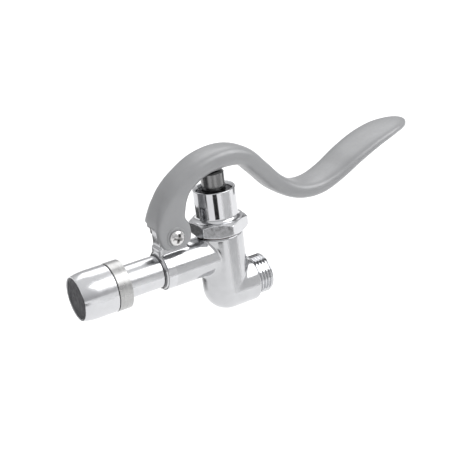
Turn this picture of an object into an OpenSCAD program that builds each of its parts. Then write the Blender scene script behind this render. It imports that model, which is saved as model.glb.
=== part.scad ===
// Self-closing squeeze valve: a threaded inlet, an elbow up into the valve chamber,
// a straight outlet with an aerator, and a hand lever that pushes the plunger down.
// Frame: origin at the centre of the inlet's end face, +X out of the inlet, +Z up,
// the outlet points along -X. Millimetres.

/* [Body] */
// Inlet end face to the stem's axis, along X
inlet_reach = 24; // [22:0.5:30]
// Height of the outlet's axis above the inlet's axis
axis_rise = 20.5; // [19:0.5:24]
// Diameter of the neck, elbow and inlet barrel
neck_d = 24.8; // [24.4:0.1:26]
// Diameter of the outlet barrel
barrel_d = 21; // [20:0.1:22]
// Stem axis to the outlet barrel's end
barrel_reach = 36.8; // [36:0.1:38]
// Top of the neck above the outlet's axis
neck_top = 10.6; // [10:0.1:10.7]
// Diameter of the waterway into and out of the valve
way_d = 10; // [9:0.5:10.5]

/* [Inlet thread] */
// Outside diameter of the inlet thread
thread_d = 20.9; // [20.8:0.05:21]
// Distance from crest to crest
thread_pitch = 1.8; // [1.7:0.05:1.85]
// Number of crests
thread_crests = 5; // [4:1:5]

/* [Bonnet] */
// Width of the hexagon across its flats
hex_af = 27; // [26:0.5:28]
// Bottom of the hexagon above the outlet's axis
hex_z = 11.1; // [10.8:0.1:11.5]
// Height of the hexagon
hex_h = 7.6; // [7:0.1:8]
// Outside diameter of the sleeve
sleeve_d = 22; // [21.8:0.1:22.6]
// Top of the sleeve above the outlet's axis
sleeve_top = 34.8; // [34:0.1:35.5]
// Bore of the sleeve
sleeve_bore_d = 18.4; // [18:0.1:18.8]

/* [Stem and plunger] */
// Diameter of the stem
stem_d = 6; // [5.5:0.5:6]
// Diameter of the plunger's button
button_d = 12.2; // [11.6:0.1:12.4]
// Top of the button above the outlet's axis
button_top = 44.5; // [44.4:0.05:44.6]
// Radial clearance of the sliding and turning fits
running_gap = 0.06; // [0.03:0.01:0.09]

/* [Lever] */
// Pivot ahead of the stem's axis
pivot_ahead = 28.9; // [28:0.1:29.5]
// Pivot above the outlet's axis
pivot_up = 18; // [17.8:0.1:18.2]
// Width of the lever's fork
fork_w = 17; // [16.6:0.2:18]
// Width of the slot in the fork
slot_w = 9.8; // [9.8:0.1:10.2]
// Width of the lug on the body
lug_w = 9.5; // [9:0.1:9.5]
// Diameter of the pivot screw's shank
pivot_d = 5; // [4.8:0.1:5]

/* [Outlet] */
// Diameter of the outlet tube
tube_d = 16.9; // [16.5:0.1:17.2]
// Stem axis to the adapter ring's back
ring_back = 57.9; // [57:0.1:59]
// Length of the adapter ring
ring_len = 7.1; // [6.8:0.1:7.4]
// Diameter of the adapter ring
ring_d = 25.2; // [25:0.1:25.6]
// Stem axis to the aerator's mouth
mouth_reach = 83.2; // [83:0.1:84]
// Diameter of the aerator's mouth, outside
mouth_d = 22.8; // [22.6:0.1:23]
// Largest diameter of the aerator housing
housing_d = 24.8; // [24.6:0.1:25]

/* [Hidden] */
$fn = 96;
eps = 0.01;

chrome = [0.80, 0.81, 0.83];
satin = [0.66, 0.66, 0.63];
grey_paint = [0.60, 0.61, 0.62];
steel = [0.50, 0.50, 0.52];
brass = [0.78, 0.62, 0.30];
rubber = [0.10, 0.10, 0.11];
fibre = [0.30, 0.18, 0.14];
white_plastic = [0.86, 0.87, 0.88];
mesh_grey = [0.25, 0.25, 0.26];

// Valve chamber, from the bottom up, measured from the outlet's axis
chamber_r = 8;          // below the seat
cartridge_r = 9.3;      // above the seat
ledge_z = -11.2;        // the body's step under the seat
gasket_h = 1;
seat_z = ledge_z + gasket_h;
seat_h = 3.6;
seat_hole_r = 4.8;
lip_h = 1.8;            // seat's nose, down towards the rubber
lip_z = seat_z - lip_h;
cage_z = seat_z + seat_h + 0.05;
shank_z = 5.2;          // bottom of the bonnet's threaded shank
chamber_floor = 14;     // floor of the spring chamber in the bonnet
packing_z = 6;
packing_h = 4;
packing_r = 5;
stem_r = stem_d / 2;
gland_head_h = 3.4;
spring_washer_h = 0.8;
spring_z = chamber_floor + spring_washer_h;
flange_z = 28.6;        // underside of the plunger's flange
flange_h = 2.8;
hole_r = stem_r + running_gap;

// Return spring
wire_d = 1.2;
spring_r = 7.4;
spring_turns = 5.5;

// Rubber disc and its holder under the seat
washer_gap = 0.02;
washer_h = 2.6;
washer_r = 6.8;
holder_z = lip_z - washer_gap - washer_h;
holder_base_h = 2.4;
tail_r = 2;             // stem's threaded tail
disc_nut_h = 3.2;

// Outlet
spigot_r = 7.5;
spigot_len = 9;
seam = 0.3;             // dark line between the housing and the ring
insert_r = 10.8;
lip_r = 10.4;
screen_h = 0.5;

// Pivot
bush_r = 3.5;
pivot_r = pivot_d / 2;
ear_boss_h = 0.4;
ear_boss_r = 5.4;
head_r = 4.1;
head_h = 2.4;
nut_af = 8;
pivot_nut_h = 4.6;
pivot_washer_h = 0.9;
ear_y = fork_w / 2;
boss_y = ear_y + ear_boss_h;

// Lever arm, along its centre line from the fork to the tip:
// [ahead of the stem's axis, height, width, thickness]
ARM = [[-28.4, 27.5, 16.8, 13.6], [-24.9, 35.4, 17.0, 12.4], [-18.6, 43.0, 17.8, 10.8],
       [-7.0, 48.9, 19.0, 10.4], [6.5, 50.4, 19.4, 10.8], [17.6, 47.4, 18.4, 9.9],
       [26.4, 38.6, 17.2, 9.6], [36.0, 28.0, 17.8, 9.4], [47.5, 21.0, 20.2, 9.2],
       [60.0, 19.8, 22.0, 8.8], [72.5, 23.7, 23.6, 8.2], [85.0, 29.9, 25.6, 7.6],
       [98.0, 35.3, 26.4, 7.0], [110.0, 38.7, 24.8, 6.2], [119.0, 40.0, 18.8, 5.4],
       [123.8, 40.4, 10.4, 4.0], [125.4, 40.4, 3.2, 1.8]];
arm_steps = 5;          // rings per stretch of the arm
arm_sides = 24;
arm_power = 3;          // 2 is an ellipse, more is squarer

// Places children in the valve's own frame: stem axis and outlet axis at the origin
module valve_frame() translate([-inlet_reach, 0, axis_rise]) children();
// Turns a +Z shape to lie along the outlet, with its z = 0 at the stem axis
module along_outlet() valve_frame() rotate([0, -90, 0]) children();
// Turns a +Z shape to lie along the pivot, from -Y to +Y
module along_pivot() valve_frame() translate([-pivot_ahead, 0, pivot_up]) rotate([-90, 0, 0]) children();

module ring(r_out, r_in, h, z = 0) translate([0, 0, z]) difference() {
    cylinder(r = r_out, h = h);
    translate([0, 0, -1]) cylinder(r = r_in, h = h + 2);
}

// A hexagonal prism whose corners are turned off at 30 degrees, top and bottom
module turned_hex(af, h) intersection() {
    rotate([0, 0, 30]) cylinder(d = af / cos(30), h = h, $fn = 6);
    rotate_extrude() turned_hex_outline(af / 2, af / 2 / cos(30), h);
}

module turned_hex_outline(flat_r, corner_r, h) {
    drop = (corner_r - flat_r + 0.6) * tan(30);
    polygon([[0, 0], [flat_r - 0.6, 0], [corner_r, drop], [corner_r, h - drop],
             [flat_r - 0.6, h], [0, h]]);
}

// ---- valve body ----

module inlet_barrel() {
    shoulder_x = -thread_crests * thread_pitch;
    barrel_len = inlet_reach + shoulder_x;
    // barrel with a turned-off edge at its shoulder
    translate([-inlet_reach, 0, 0]) rotate([0, 90, 0]) rotate_extrude()
        polygon([[0, 0], [neck_d / 2, 0], [neck_d / 2, barrel_len - 0.5],
                 [neck_d / 2 - 0.5, barrel_len], [0, barrel_len]]);
    rotate([0, -90, 0]) rotate_extrude() inlet_thread_outline();
}

// One flat-topped crest per pitch; the first starts at the end face
module inlet_thread_outline() {
    crest_r = thread_d / 2;
    root_r = crest_r - 1.05;
    flat = thread_pitch / 6;
    square([root_r, thread_crests * thread_pitch + eps]);
    intersection() {
        square([crest_r, thread_crests * thread_pitch]);
        for (i = [0 : thread_crests - 1]) translate([0, (i + 1 / 12) * thread_pitch])
            polygon([[root_r - eps, 0.1 - thread_pitch / 2], [crest_r, -flat / 2],
                     [crest_r, flat / 2], [root_r - eps, thread_pitch / 2 - 0.1]]);
    }
}

module outlet_barrel() {
    step_r = barrel_d / 2 - 1.4;
    along_outlet() rotate_extrude()
        polygon([[0, 0], [barrel_d / 2, 0], [barrel_d / 2, barrel_reach - 0.6],
                 [barrel_d / 2 - 0.6, barrel_reach], [step_r, barrel_reach],
                 [step_r, barrel_reach + 1.5], [0, barrel_reach + 1.5]]);
}

// Lug between the fork's ears, with a toe over the outlet barrel's end
module lever_lug() along_pivot() translate([0, 0, -lug_w / 2]) linear_extrude(lug_w) {
    circle(r = 7.4);
    translate([-7.4, 0]) square([14.8, 12]);
    translate([-8.6, 5.2]) square([10, 6.8]);
}

module body_solid() {
    inlet_barrel();
    translate([-inlet_reach, 0, 0]) sphere(d = neck_d);
    translate([-inlet_reach, 0, 0]) rotate_extrude()
        polygon([[0, 0], [neck_d / 2, 0], [neck_d / 2, axis_rise + neck_top - 0.4],
                 [neck_d / 2 - 0.4, axis_rise + neck_top], [0, axis_rise + neck_top]]);
    outlet_barrel();
    lever_lug();
}

module valve_body() color(chrome) difference() {
    body_solid();
    // inlet waterway
    translate([-inlet_reach, 0, 0]) rotate([0, 90, 0]) cylinder(r = 6.5, h = inlet_reach + 1);
    // chamber below the seat, with a round bottom
    translate([-inlet_reach, 0, 0]) sphere(r = chamber_r);
    translate([-inlet_reach, 0, 0]) cylinder(r = chamber_r, h = axis_rise);
    // bore for the cage and the bonnet's shank
    valve_frame() translate([0, 0, ledge_z]) cylinder(r = cartridge_r, h = neck_top - ledge_z + 1);
    // outlet waterway and the tube's socket
    along_outlet() cylinder(d = way_d, h = barrel_reach + 3);
    along_outlet() translate([0, 0, barrel_reach + 1.5 - spigot_len]) cylinder(r = spigot_r + 0.1, h = 20);
    // bore for the lever's bushing
    along_pivot() translate([0, 0, -lug_w]) cylinder(r = bush_r, h = 2 * lug_w);
}

// ---- inside the valve chamber ----

module seat_gasket() color(fibre) valve_frame() ring(9.2, chamber_r + 0.1, gasket_h, ledge_z);

module valve_seat() color(brass) valve_frame() rotate_extrude()
    polygon([[seat_hole_r, lip_z], [seat_hole_r + 1, lip_z], [seat_hole_r + 1.6, seat_z],
             [9.2, seat_z], [9.2, seat_z + seat_h], [seat_hole_r + 1, seat_z + seat_h],
             [seat_hole_r, seat_z + seat_h - 1]]);

module guide_cage() color(brass) valve_frame() difference() {
    ring(9.2, 7.4, shank_z - 0.05 - cage_z, cage_z);
    for (turn = [0, 90]) rotate([0, 90, turn]) translate([0, 0, -12]) cylinder(d = 8.4, h = 24);
}

module seat_washer() color(rubber) valve_frame() ring(washer_r, stem_r, washer_h, holder_z);

module disc_holder() color(brass) valve_frame() rotate_extrude()
    polygon([[tail_r, holder_z - holder_base_h], [6.6, holder_z - holder_base_h],
             [washer_r + 0.6, holder_z - holder_base_h + 0.8], [washer_r + 0.6, holder_z + 1.6],
             [washer_r, holder_z + 1.6], [washer_r, holder_z], [tail_r, holder_z]]);

module disc_nut() color(brass) valve_frame()
    translate([0, 0, holder_z - holder_base_h - disc_nut_h]) difference() {
        turned_hex(7, disc_nut_h);
        translate([0, 0, -1]) cylinder(r = tail_r, h = disc_nut_h + 2);
    }

module stem() color(steel) valve_frame() {
    translate([0, 0, holder_z]) cylinder(r = stem_r, h = 38 - holder_z);
    tail_z = holder_z - holder_base_h - disc_nut_h - 0.8;
    translate([0, 0, tail_z]) cylinder(r = tail_r, h = holder_z - tail_z + eps);
}

// ---- bonnet ----

module bonnet() color(chrome) valve_frame() difference() {
    union() {
        translate([0, 0, hex_z]) turned_hex(hex_af, hex_h);
        translate([0, 0, shank_z]) cylinder(r = cartridge_r - 0.05, h = hex_z - shank_z + 1);
        bonnet_sleeve();
    }
    translate([0, 0, shank_z - 1]) cylinder(r = hole_r, h = 30);
    translate([0, 0, packing_z]) cylinder(r = packing_r, h = 30);
    translate([0, 0, chamber_floor]) cylinder(d = sleeve_bore_d, h = 30);
    // the bore opens a little at the rim
    translate([0, 0, sleeve_top - 1.2])
        cylinder(r1 = sleeve_bore_d / 2, r2 = sleeve_bore_d / 2 + 0.9, h = 1.3);
}

// Sleeve with a round-edged rim and a curved foot on the hexagon
module bonnet_sleeve() {
    sleeve_r = sleeve_d / 2;
    foot = 2.2;
    rotate_extrude() difference() {
        union() {
            translate([0, hex_z + 1]) square([sleeve_r, sleeve_top - 0.3 - hex_z - 1]);
            translate([0, sleeve_top - 0.4]) square([sleeve_r - 0.3, 0.4]);
            translate([0, hex_z + hex_h - 0.4]) square([sleeve_r + foot, foot + 0.4]);
        }
        translate([sleeve_r + foot, hex_z + hex_h + foot]) circle(r = foot);
    }
}

module bonnet_gasket() color(fibre) valve_frame() ring(12, cartridge_r + 0.1, hex_z - neck_top, neck_top);

module stem_packing() color(white_plastic) valve_frame()
    ring(packing_r - 0.02, stem_r + 0.03, packing_h, packing_z);

module gland_nut() color(brass) valve_frame() difference() {
    union() {
        translate([0, 0, packing_z + packing_h])
            cylinder(r = packing_r - 0.02, h = chamber_floor - packing_z - packing_h + 1);
        translate([0, 0, chamber_floor]) turned_hex(11, gland_head_h);
    }
    cylinder(r = stem_r + 0.1, h = 30);
}

module spring_washer() color(steel) valve_frame() ring(8.9, 6.5, spring_washer_h, chamber_floor);

// Coil's climb along its length: flat at both ends
function coil_climb(u) = u - sin(360 * u) / (2 * PI) * 0.55;

// Section of the coil's wire at share u of its length
function coil_ring(u) = let (a = 360 * spring_turns * u, r = wire_d / 2,
        z = spring_z + r + (flange_z - spring_z - wire_d) * coil_climb(u))
    [for (b = [0 : 45 : 315])
        [(spring_r + r * cos(b)) * cos(a), (spring_r + r * cos(b)) * sin(a), z + r * sin(b)]];

// Coil from the washer up to the plunger's flange
module return_spring() color(steel) valve_frame() {
    steps = 26 * spring_turns;
    sweep([for (k = [0 : steps]) coil_ring(k / steps)]);
}

// Closed skin over a list of rings, each with the same number of points
module sweep(rings) {
    m = len(rings[0]);
    n = len(rings);
    side = [for (i = [0 : n - 2], j = [0 : m - 1]) let (a = i * m + j, b = i * m + (j + 1) % m)
        each [[a, b, b + m], [a, b + m, a + m]]];
    first = [for (j = [1 : m - 2]) [0, j + 1, j]];
    last = [for (j = [1 : m - 2]) [(n - 1) * m, (n - 1) * m + j, (n - 1) * m + j + 1]];
    polyhedron(points = [for (r = rings) each r], faces = concat(side, first, last));
}

// ---- plunger ----

module plunger() color(steel) valve_frame() difference() {
    dome_r = 18;
    intersection() {
        union() {
            translate([0, 0, flange_z]) cylinder(d = sleeve_bore_d - 0.16, h = flange_h);
            translate([0, 0, flange_z]) cylinder(d = button_d, h = button_top - flange_z);
        }
        translate([0, 0, button_top - dome_r]) sphere(r = dome_r);
        rotate_extrude() polygon([[0, 0], [30, 0], [30, 38], [button_d / 2, button_top - 1.3],
                                  [button_d / 2 - 0.6, button_top - 0.7],
                                  [button_d / 2 - 0.6, 60], [0, 60]]);
    }
    translate([0, 0, flange_z - 1]) cylinder(r = stem_r, h = 38 - flange_z + 1.05);
}

// ---- outlet ----

module outlet_tube() color(chrome) along_outlet() difference() {
    joint_x = barrel_reach + 1.5;
    end_x = ring_back + 6;
    groove_x = joint_x - 4.6;
    rotate_extrude() polygon([[0, joint_x - spigot_len + 0.1], [spigot_r, joint_x - spigot_len + 0.1],
        [spigot_r, groove_x - 1], [spigot_r - 1.6, groove_x - 1], [spigot_r - 1.6, groove_x + 1],
        [spigot_r, groove_x + 1], [spigot_r, joint_x], [tube_d / 2, joint_x],
        [tube_d / 2, end_x], [0, end_x]]);
    cylinder(d = way_d, h = 100);
}

module tube_oring() color(rubber) along_outlet()
    translate([0, 0, barrel_reach + 1.5 - 4.6]) rotate_extrude() translate([6.72, 0]) circle(r = 0.8);

module adapter_ring() color(satin) along_outlet() {
    front_x = ring_back + ring_len;
    edge = 0.5;
    rotate_extrude() difference() {
        union() {
            polygon([[0, ring_back], [ring_d / 2 - edge, ring_back], [ring_d / 2, ring_back + edge],
                     [ring_d / 2, front_x - edge], [ring_d / 2 - edge, front_x], [0, front_x]]);
            translate([0, front_x - eps]) square([11, 7.4]);
        }
        translate([-1, ring_back - 1]) square([tube_d / 2 + 1.03, 7.1]);
        translate([-1, ring_back - 1]) square([way_d / 2 + 1, 30]);
    }
}

module aerator_housing() color(chrome) along_outlet() {
    back_x = ring_back + ring_len + seam;
    wide_x = mouth_reach - 8;
    rotate_extrude() difference() {
        polygon([[11.05, back_x], [housing_d / 2 - 0.4, back_x], [housing_d / 2, back_x + 0.5],
                 [housing_d / 2, wide_x], [housing_d / 2 - 0.35, mouth_reach - 4],
                 [mouth_d / 2 + 0.15, mouth_reach - 0.8], [mouth_d / 2 - 0.15, mouth_reach - 0.1],
                 [mouth_d / 2 - 0.5, mouth_reach], [lip_r, mouth_reach], [lip_r, mouth_reach - 1.2],
                 [insert_r + 0.05, mouth_reach - 1.2], [insert_r + 0.05, back_x + 9.4],
                 [11.05, back_x + 9.4]]);
    }
}

module aerator_washer() color(rubber) along_outlet()
    ring(10.7, 7.4, 2, ring_back + ring_len + 7.45);

// Plate with a centre boss and a circle of jets
module jet_disc() color(white_plastic) along_outlet() translate([0, 0, ring_back + ring_len + 9.5])
    difference() {
        union() {
            cylinder(r = insert_r - 0.2, h = 1.4);
            translate([0, 0, 1.3]) cylinder(r1 = 3.2, r2 = 1.6, h = 2.2);
        }
        for (i = [0 : 11]) rotate([0, 0, 30 * i]) translate([6.6, 0, -1]) cylinder(r = 0.7, h = 4);
    }

module aerator_cartridge() color(white_plastic) along_outlet() {
    back_x = ring_back + ring_len + 10.95;
    front_x = mouth_reach - 1.2 - screen_h - 0.05;
    difference() {
        ring(insert_r - 0.1, 9.6, front_x - back_x, back_x);
        // air slots
        for (i = [0 : 5]) rotate([0, 0, 60 * i]) translate([8, -1.2, back_x - 1]) cube([4, 2.4, 3]);
        // step that the inner screen rests in
        translate([0, 0, front_x - 3]) cylinder(r = 10.1, h = 4);
    }
}

// Square-holed screen: a disc with a grid of openings inside its rim
module screen(r, pitch, wire, h) linear_extrude(h) difference() {
    circle(r = r);
    cells = floor((r - 1) / pitch);
    for (i = [-cells : cells], j = [-cells : cells])
        if (norm([abs(i) + 0.5, abs(j) + 0.5]) * pitch < r - 0.5)
            translate([i * pitch, j * pitch]) square(pitch - wire, center = true);
}

module inner_screen() color(mesh_grey) along_outlet() translate([0, 0, mouth_reach - 1.2 - screen_h - 3])
    screen(10.05, 1.9, 0.7, 0.4);

module outer_screen() color(mesh_grey) along_outlet() translate([0, 0, mouth_reach - 1.2 - screen_h])
    screen(insert_r - 0.05, 1.9, 0.6, screen_h - 0.02);

// ---- lever and its pivot ----

// Smooth curve through stations p1 and p2, at t from 0 to 1
function through(p0, p1, p2, p3, t) = (2 * p1 + (p2 - p0) * t
    + (2 * p0 - 5 * p1 + 4 * p2 - p3) * t * t
    + (3 * p1 - p0 - 3 * p2 + p3) * t * t * t) / 2;

function arm_at(u) = let (n = len(ARM), i = min(floor(u), n - 2), t = u - i)
    through(ARM[max(i - 1, 0)], ARM[i], ARM[i + 1], ARM[min(i + 2, n - 1)], t);

// One ring of the arm: a squared oval across the centre line
function arm_ring(u) = let (s = arm_at(u), a = arm_at(max(u - 0.02, 0)),
        b = arm_at(min(u + 0.02, len(ARM) - 1)),
        d = [b[0] - a[0], b[1] - a[1]], n = [-d[1], d[0]] / norm(d))
    [for (j = [0 : arm_sides - 1]) let (c = cos(360 * j / arm_sides), e = sin(360 * j / arm_sides),
            across = -s[2] / 2 * sign(c) * pow(abs(c), 2 / arm_power),
            up = s[3] / 2 * sign(e) * pow(abs(e), 2 / arm_power))
        [s[0] + n[0] * up, across, s[1] + n[1] * up]];

module lever_arm() {
    steps = arm_steps * (len(ARM) - 1);
    sweep([for (k = [0 : steps]) arm_ring(k / arm_steps)]);
}

// Side outline of the fork, around the pivot, before the slot is cut
module fork_outline() polygon([[-2, -6.1], [-5, -5], [-7, -2.2], [-8.3, 1.8], [-8.9, 4.5],
    [-8.7, 7.4], [-5.6, 15.6], [0, 22], [6, 22], [9, 18.4], [8, 13], [7.9, 8], [8.4, 4.5], [9.3, 1.5],
    [9.4, -1.2], [8, -4.4], [4.5, -6]]);

module lever() color(grey_paint) difference() {
    union() {
        valve_frame() lever_arm();
        along_pivot() translate([0, 0, -ear_y]) linear_extrude(fork_w) mirror([0, 1]) fork_outline();
        for (side = [0, 1]) along_pivot() mirror([0, 0, side]) translate([0, 0, ear_y - 0.1])
            cylinder(r1 = ear_boss_r, r2 = ear_boss_r - 0.4, h = ear_boss_h + 0.1);
        // flat pad that presses the plunger
        valve_frame() translate([0, 0, button_top + 0.05]) cylinder(r = 6.3, h = 4);
    }
    // slot for the body's lug
    along_pivot() translate([0, 0, -slot_w / 2]) cylinder(r = 8.5, h = slot_w);
    along_pivot() translate([-20, -5, -slot_w / 2]) cube([40, 23, slot_w]);
    // pivot hole
    along_pivot() translate([0, 0, -20]) cylinder(r = pivot_r, h = 40);
    // underside over the plunger: level, then easing down where the button slides back
    valve_frame() translate([0, 0, button_top + 0.05]) rotate([90, 0, 0])
        linear_extrude(30, center = true)
            polygon([[-10.6, -8], [-10.6, -2.05], [-8, -1.15], [-5.5, -0.45], [-4, 0], [8, 0], [8, -8]]);
}

module lever_bushing() color(brass) along_pivot()
    ring(bush_r, pivot_r + running_gap, lug_w + 0.1, -lug_w / 2 - 0.05);

module pivot_screw() color(steel) along_pivot() difference() {
    union() {
        translate([0, 0, -boss_y])
            cylinder(r = pivot_r, h = 2 * boss_y + pivot_washer_h + pivot_nut_h + 1);
        intersection() {
            translate([0, 0, -boss_y - head_h]) cylinder(r = head_r, h = head_h);
            translate([0, 0, -boss_y - head_h + 6.2]) sphere(r = 6.2);
        }
    }
    // cross recess, narrowing to its bottom
    intersection() {
        translate([0, 0, -boss_y - head_h - 1]) linear_extrude(2.6) {
            square([4.6, 0.9], center = true);
            square([0.9, 4.6], center = true);
        }
        translate([0, 0, -boss_y - head_h - 1]) cylinder(r1 = 3.4, r2 = 0.8, h = 2.6);
    }
}

module pivot_washer() color(steel) along_pivot() ring(5, pivot_r, pivot_washer_h, boss_y);

// Lock nut with a round collar at its end
module pivot_nut() color(steel) along_pivot() translate([0, 0, boss_y + pivot_washer_h]) difference() {
    union() {
        turned_hex(nut_af, pivot_nut_h - 1);
        cylinder(r = 3.6, h = pivot_nut_h - 0.3);
        cylinder(r = 3.3, h = pivot_nut_h);
    }
    translate([0, 0, -1]) cylinder(r = pivot_r, h = 10);
}

valve_body();
valve_seat();
seat_gasket();
guide_cage();
bonnet();
bonnet_gasket();
stem_packing();
gland_nut();
spring_washer();
return_spring();
lever_bushing();
outlet_tube();
tube_oring();
adapter_ring();
aerator_housing();
aerator_washer();
jet_disc();
aerator_cartridge();
inner_screen();
outer_screen();
stem();
plunger();
disc_holder();
seat_washer();
disc_nut();
lever();
pivot_screw();
pivot_washer();
pivot_nut();
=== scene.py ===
"""Visual model of a self-closing squeeze valve.

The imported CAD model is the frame: every piece is in metres, at the place where its CAD node is.
The inlet's end face is at the origin and faces +X, the outlet points along -X, and +Z is up.
"""

import logging
import math
from collections.abc import Iterator
from contextlib import contextmanager
from dataclasses import dataclass
from enum import Enum

import bpy
import bmesh
from mathutils import Matrix, Vector


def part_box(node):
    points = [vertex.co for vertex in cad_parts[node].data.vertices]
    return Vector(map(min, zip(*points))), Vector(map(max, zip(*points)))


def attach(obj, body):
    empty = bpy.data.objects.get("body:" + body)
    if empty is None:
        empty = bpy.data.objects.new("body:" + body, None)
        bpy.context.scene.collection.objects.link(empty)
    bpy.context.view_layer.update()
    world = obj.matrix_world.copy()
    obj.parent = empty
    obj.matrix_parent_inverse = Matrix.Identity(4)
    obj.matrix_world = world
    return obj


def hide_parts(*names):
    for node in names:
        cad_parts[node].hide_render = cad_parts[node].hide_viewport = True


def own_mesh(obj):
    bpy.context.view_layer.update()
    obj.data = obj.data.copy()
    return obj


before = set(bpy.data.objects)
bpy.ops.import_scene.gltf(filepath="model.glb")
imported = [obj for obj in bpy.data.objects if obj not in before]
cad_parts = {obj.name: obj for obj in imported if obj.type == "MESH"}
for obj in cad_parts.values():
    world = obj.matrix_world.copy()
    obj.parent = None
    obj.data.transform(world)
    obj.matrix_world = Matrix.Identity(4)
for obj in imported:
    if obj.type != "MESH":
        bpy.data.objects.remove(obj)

MM = 0.001
STEPS = 144
WELD = 1e-6
UP = Vector((0, 0, 1))
log = logging.getLogger("squeeze_valve")

Piece = bpy.types.Object
Socket = bpy.types.NodeSocket
Tone = tuple[float, float, float]
Corner = tuple[float, float, float]
Outline = list[tuple[float, float]]


class Body(Enum):
    """The moving bodies that a piece can ride on."""

    VALVE = "valve"
    LEVER = "lever"
    STEM = "stem"


class Cut(Enum):
    """What a solid does to another one."""

    ADD = "UNION"
    TAKE = "DIFFERENCE"
    KEEP = "INTERSECT"


# ---- finishes ----


class NodeBoard:
    """A material's node tree, with short calls to add nodes and wire them."""

    def __init__(self, name: str) -> None:
        """Starts a material that has only its output and a principled shader."""
        self.material = bpy.data.materials.new(name)
        self.material.use_nodes = True
        self.tree = self.material.node_tree
        self.shader = self.tree.nodes["Principled BSDF"]

    def node(self, kind: str, **settings: object) -> bpy.types.Node:
        """Adds one node.

        Args:
            kind: The node's type name without the ShaderNode prefix.
            settings: Node properties, or input values where the node has an input of that name.

        Returns:
            The new node.
        """
        made = self.tree.nodes.new("ShaderNode" + kind)
        for key, value in settings.items():
            if hasattr(made, key):
                setattr(made, key, value)
            else:
                made.inputs[key.replace("_", " ")].default_value = value
        return made

    def wire(self, source: Socket, node: bpy.types.Node, socket: str | int) -> None:
        """Links an output to a node's input."""
        self.tree.links.new(source, node.inputs[socket])

    def place(self, stretch: Corner = (1, 1, 1)) -> Socket:
        """Returns the object coordinates, stretched along each axis."""
        spot = self.node("TexCoord")
        mapping = self.node("Mapping")
        mapping.inputs["Scale"].default_value = stretch
        self.wire(spot.outputs["Object"], mapping, "Vector")
        return mapping.outputs["Vector"]

    def noise(self, scale: float, detail: float = 3.0,
              stretch: Corner = (1, 1, 1)) -> Socket:
        """Returns a cloudy pattern with `scale` features per metre."""
        made = self.node("TexNoise", Scale=scale, Detail=detail, Roughness=0.55)
        self.wire(self.place(stretch), made, "Vector")
        return made.outputs["Fac"]

    def spread(self, source: Socket, low: float, high: float,
               start: float = 0.35, end: float = 0.65) -> Socket:
        """Returns a pattern stretched from start..end to low..high."""
        made = self.node("MapRange", From_Min=start, From_Max=end, To_Min=low, To_Max=high)
        self.wire(source, made, "Value")
        return made.outputs["Result"]

    def tint(self, source: Socket, dark: Tone,
             light: Tone) -> None:
        """Colours the shader between two tones by a pattern."""
        ramp = self.node("ValToRGB")
        ramp.color_ramp.elements[0].position, ramp.color_ramp.elements[1].position = 0.35, 0.65
        ramp.color_ramp.elements[0].color, ramp.color_ramp.elements[1].color = (*dark, 1), (*light, 1)
        self.wire(source, ramp, "Fac")
        self.wire(ramp.outputs["Color"], self.shader, "Base Color")

    def relief(self, *layers: tuple[Socket, float]) -> None:
        """Adds bump layers, each a pattern and its height in metres."""
        below = None
        for pattern, height in layers:
            bump = self.node("Bump", Strength=1.0, Distance=height)
            self.wire(pattern, bump, "Height")
            if below is not None:
                self.wire(below, bump, "Normal")
            below = bump.outputs["Normal"]
        self.wire(below, self.shader, "Normal")


@dataclass(frozen=True)
class ChromePlate:
    """Bright chrome plate: near-mirror, with soft polishing waves and faint handling marks."""

    name: str
    gloss: tuple[float, float] = (0.045, 0.10)
    wave: float = 0.000004
    tone: Tone = (0.58, 0.584, 0.596)

    def material(self) -> bpy.types.Material:
        """Returns the finish as a material."""
        board = NodeBoard(self.name)
        cloud = board.noise(170, 4)
        board.tint(cloud, tuple(0.94 * c for c in self.tone), self.tone)
        board.shader.inputs["Metallic"].default_value = 1.0
        board.wire(board.spread(board.noise(420, 5), *self.gloss), board.shader, "Roughness")
        board.relief((board.noise(260, 2), self.wave), (board.noise(2600, 2), self.wave / 12))
        return board.material


@dataclass(frozen=True)
class TurnedMetal:
    """Metal left as the lathe made it: fine lines round the part's own axis."""

    name: str
    tone: Tone
    dark: Tone
    gloss: tuple[float, float]
    axis: int
    line: float = 0.000003
    lines_per_metre: float = 5200

    def material(self) -> bpy.types.Material:
        """Returns the finish as a material."""
        board = NodeBoard(self.name)
        stretch = [0.012, 0.012, 0.012]
        stretch[self.axis] = 1.0
        lines = board.noise(self.lines_per_metre, 3, tuple(stretch))
        coarse = board.noise(self.lines_per_metre / 4, 2, tuple(stretch))
        board.tint(lines, self.dark, self.tone)
        board.shader.inputs["Metallic"].default_value = 1.0
        board.wire(board.spread(board.noise(300, 4), *self.gloss), board.shader, "Roughness")
        board.relief((lines, self.line), (coarse, self.line))
        return board.material


@dataclass(frozen=True)
class SatinCoat:
    """Sprayed and baked grey coat: satin sheen, very fine peel, a slight drift in tone."""

    name: str
    tone: Tone = (0.272, 0.275, 0.280)
    dark: Tone = (0.255, 0.258, 0.263)

    def material(self) -> bpy.types.Material:
        """Returns the finish as a material."""
        board = NodeBoard(self.name)
        board.tint(board.noise(90, 5), self.dark, self.tone)
        board.shader.inputs["Metallic"].default_value = 0.25
        board.shader.inputs["Coat Weight"].default_value = 0.18
        board.shader.inputs["Coat Roughness"].default_value = 0.3
        board.wire(board.spread(board.noise(600, 4), 0.36, 0.46), board.shader, "Roughness")
        board.relief((board.noise(1500, 2), 0.000006), (board.noise(5200, 1), 0.000002))
        return board.material


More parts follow.
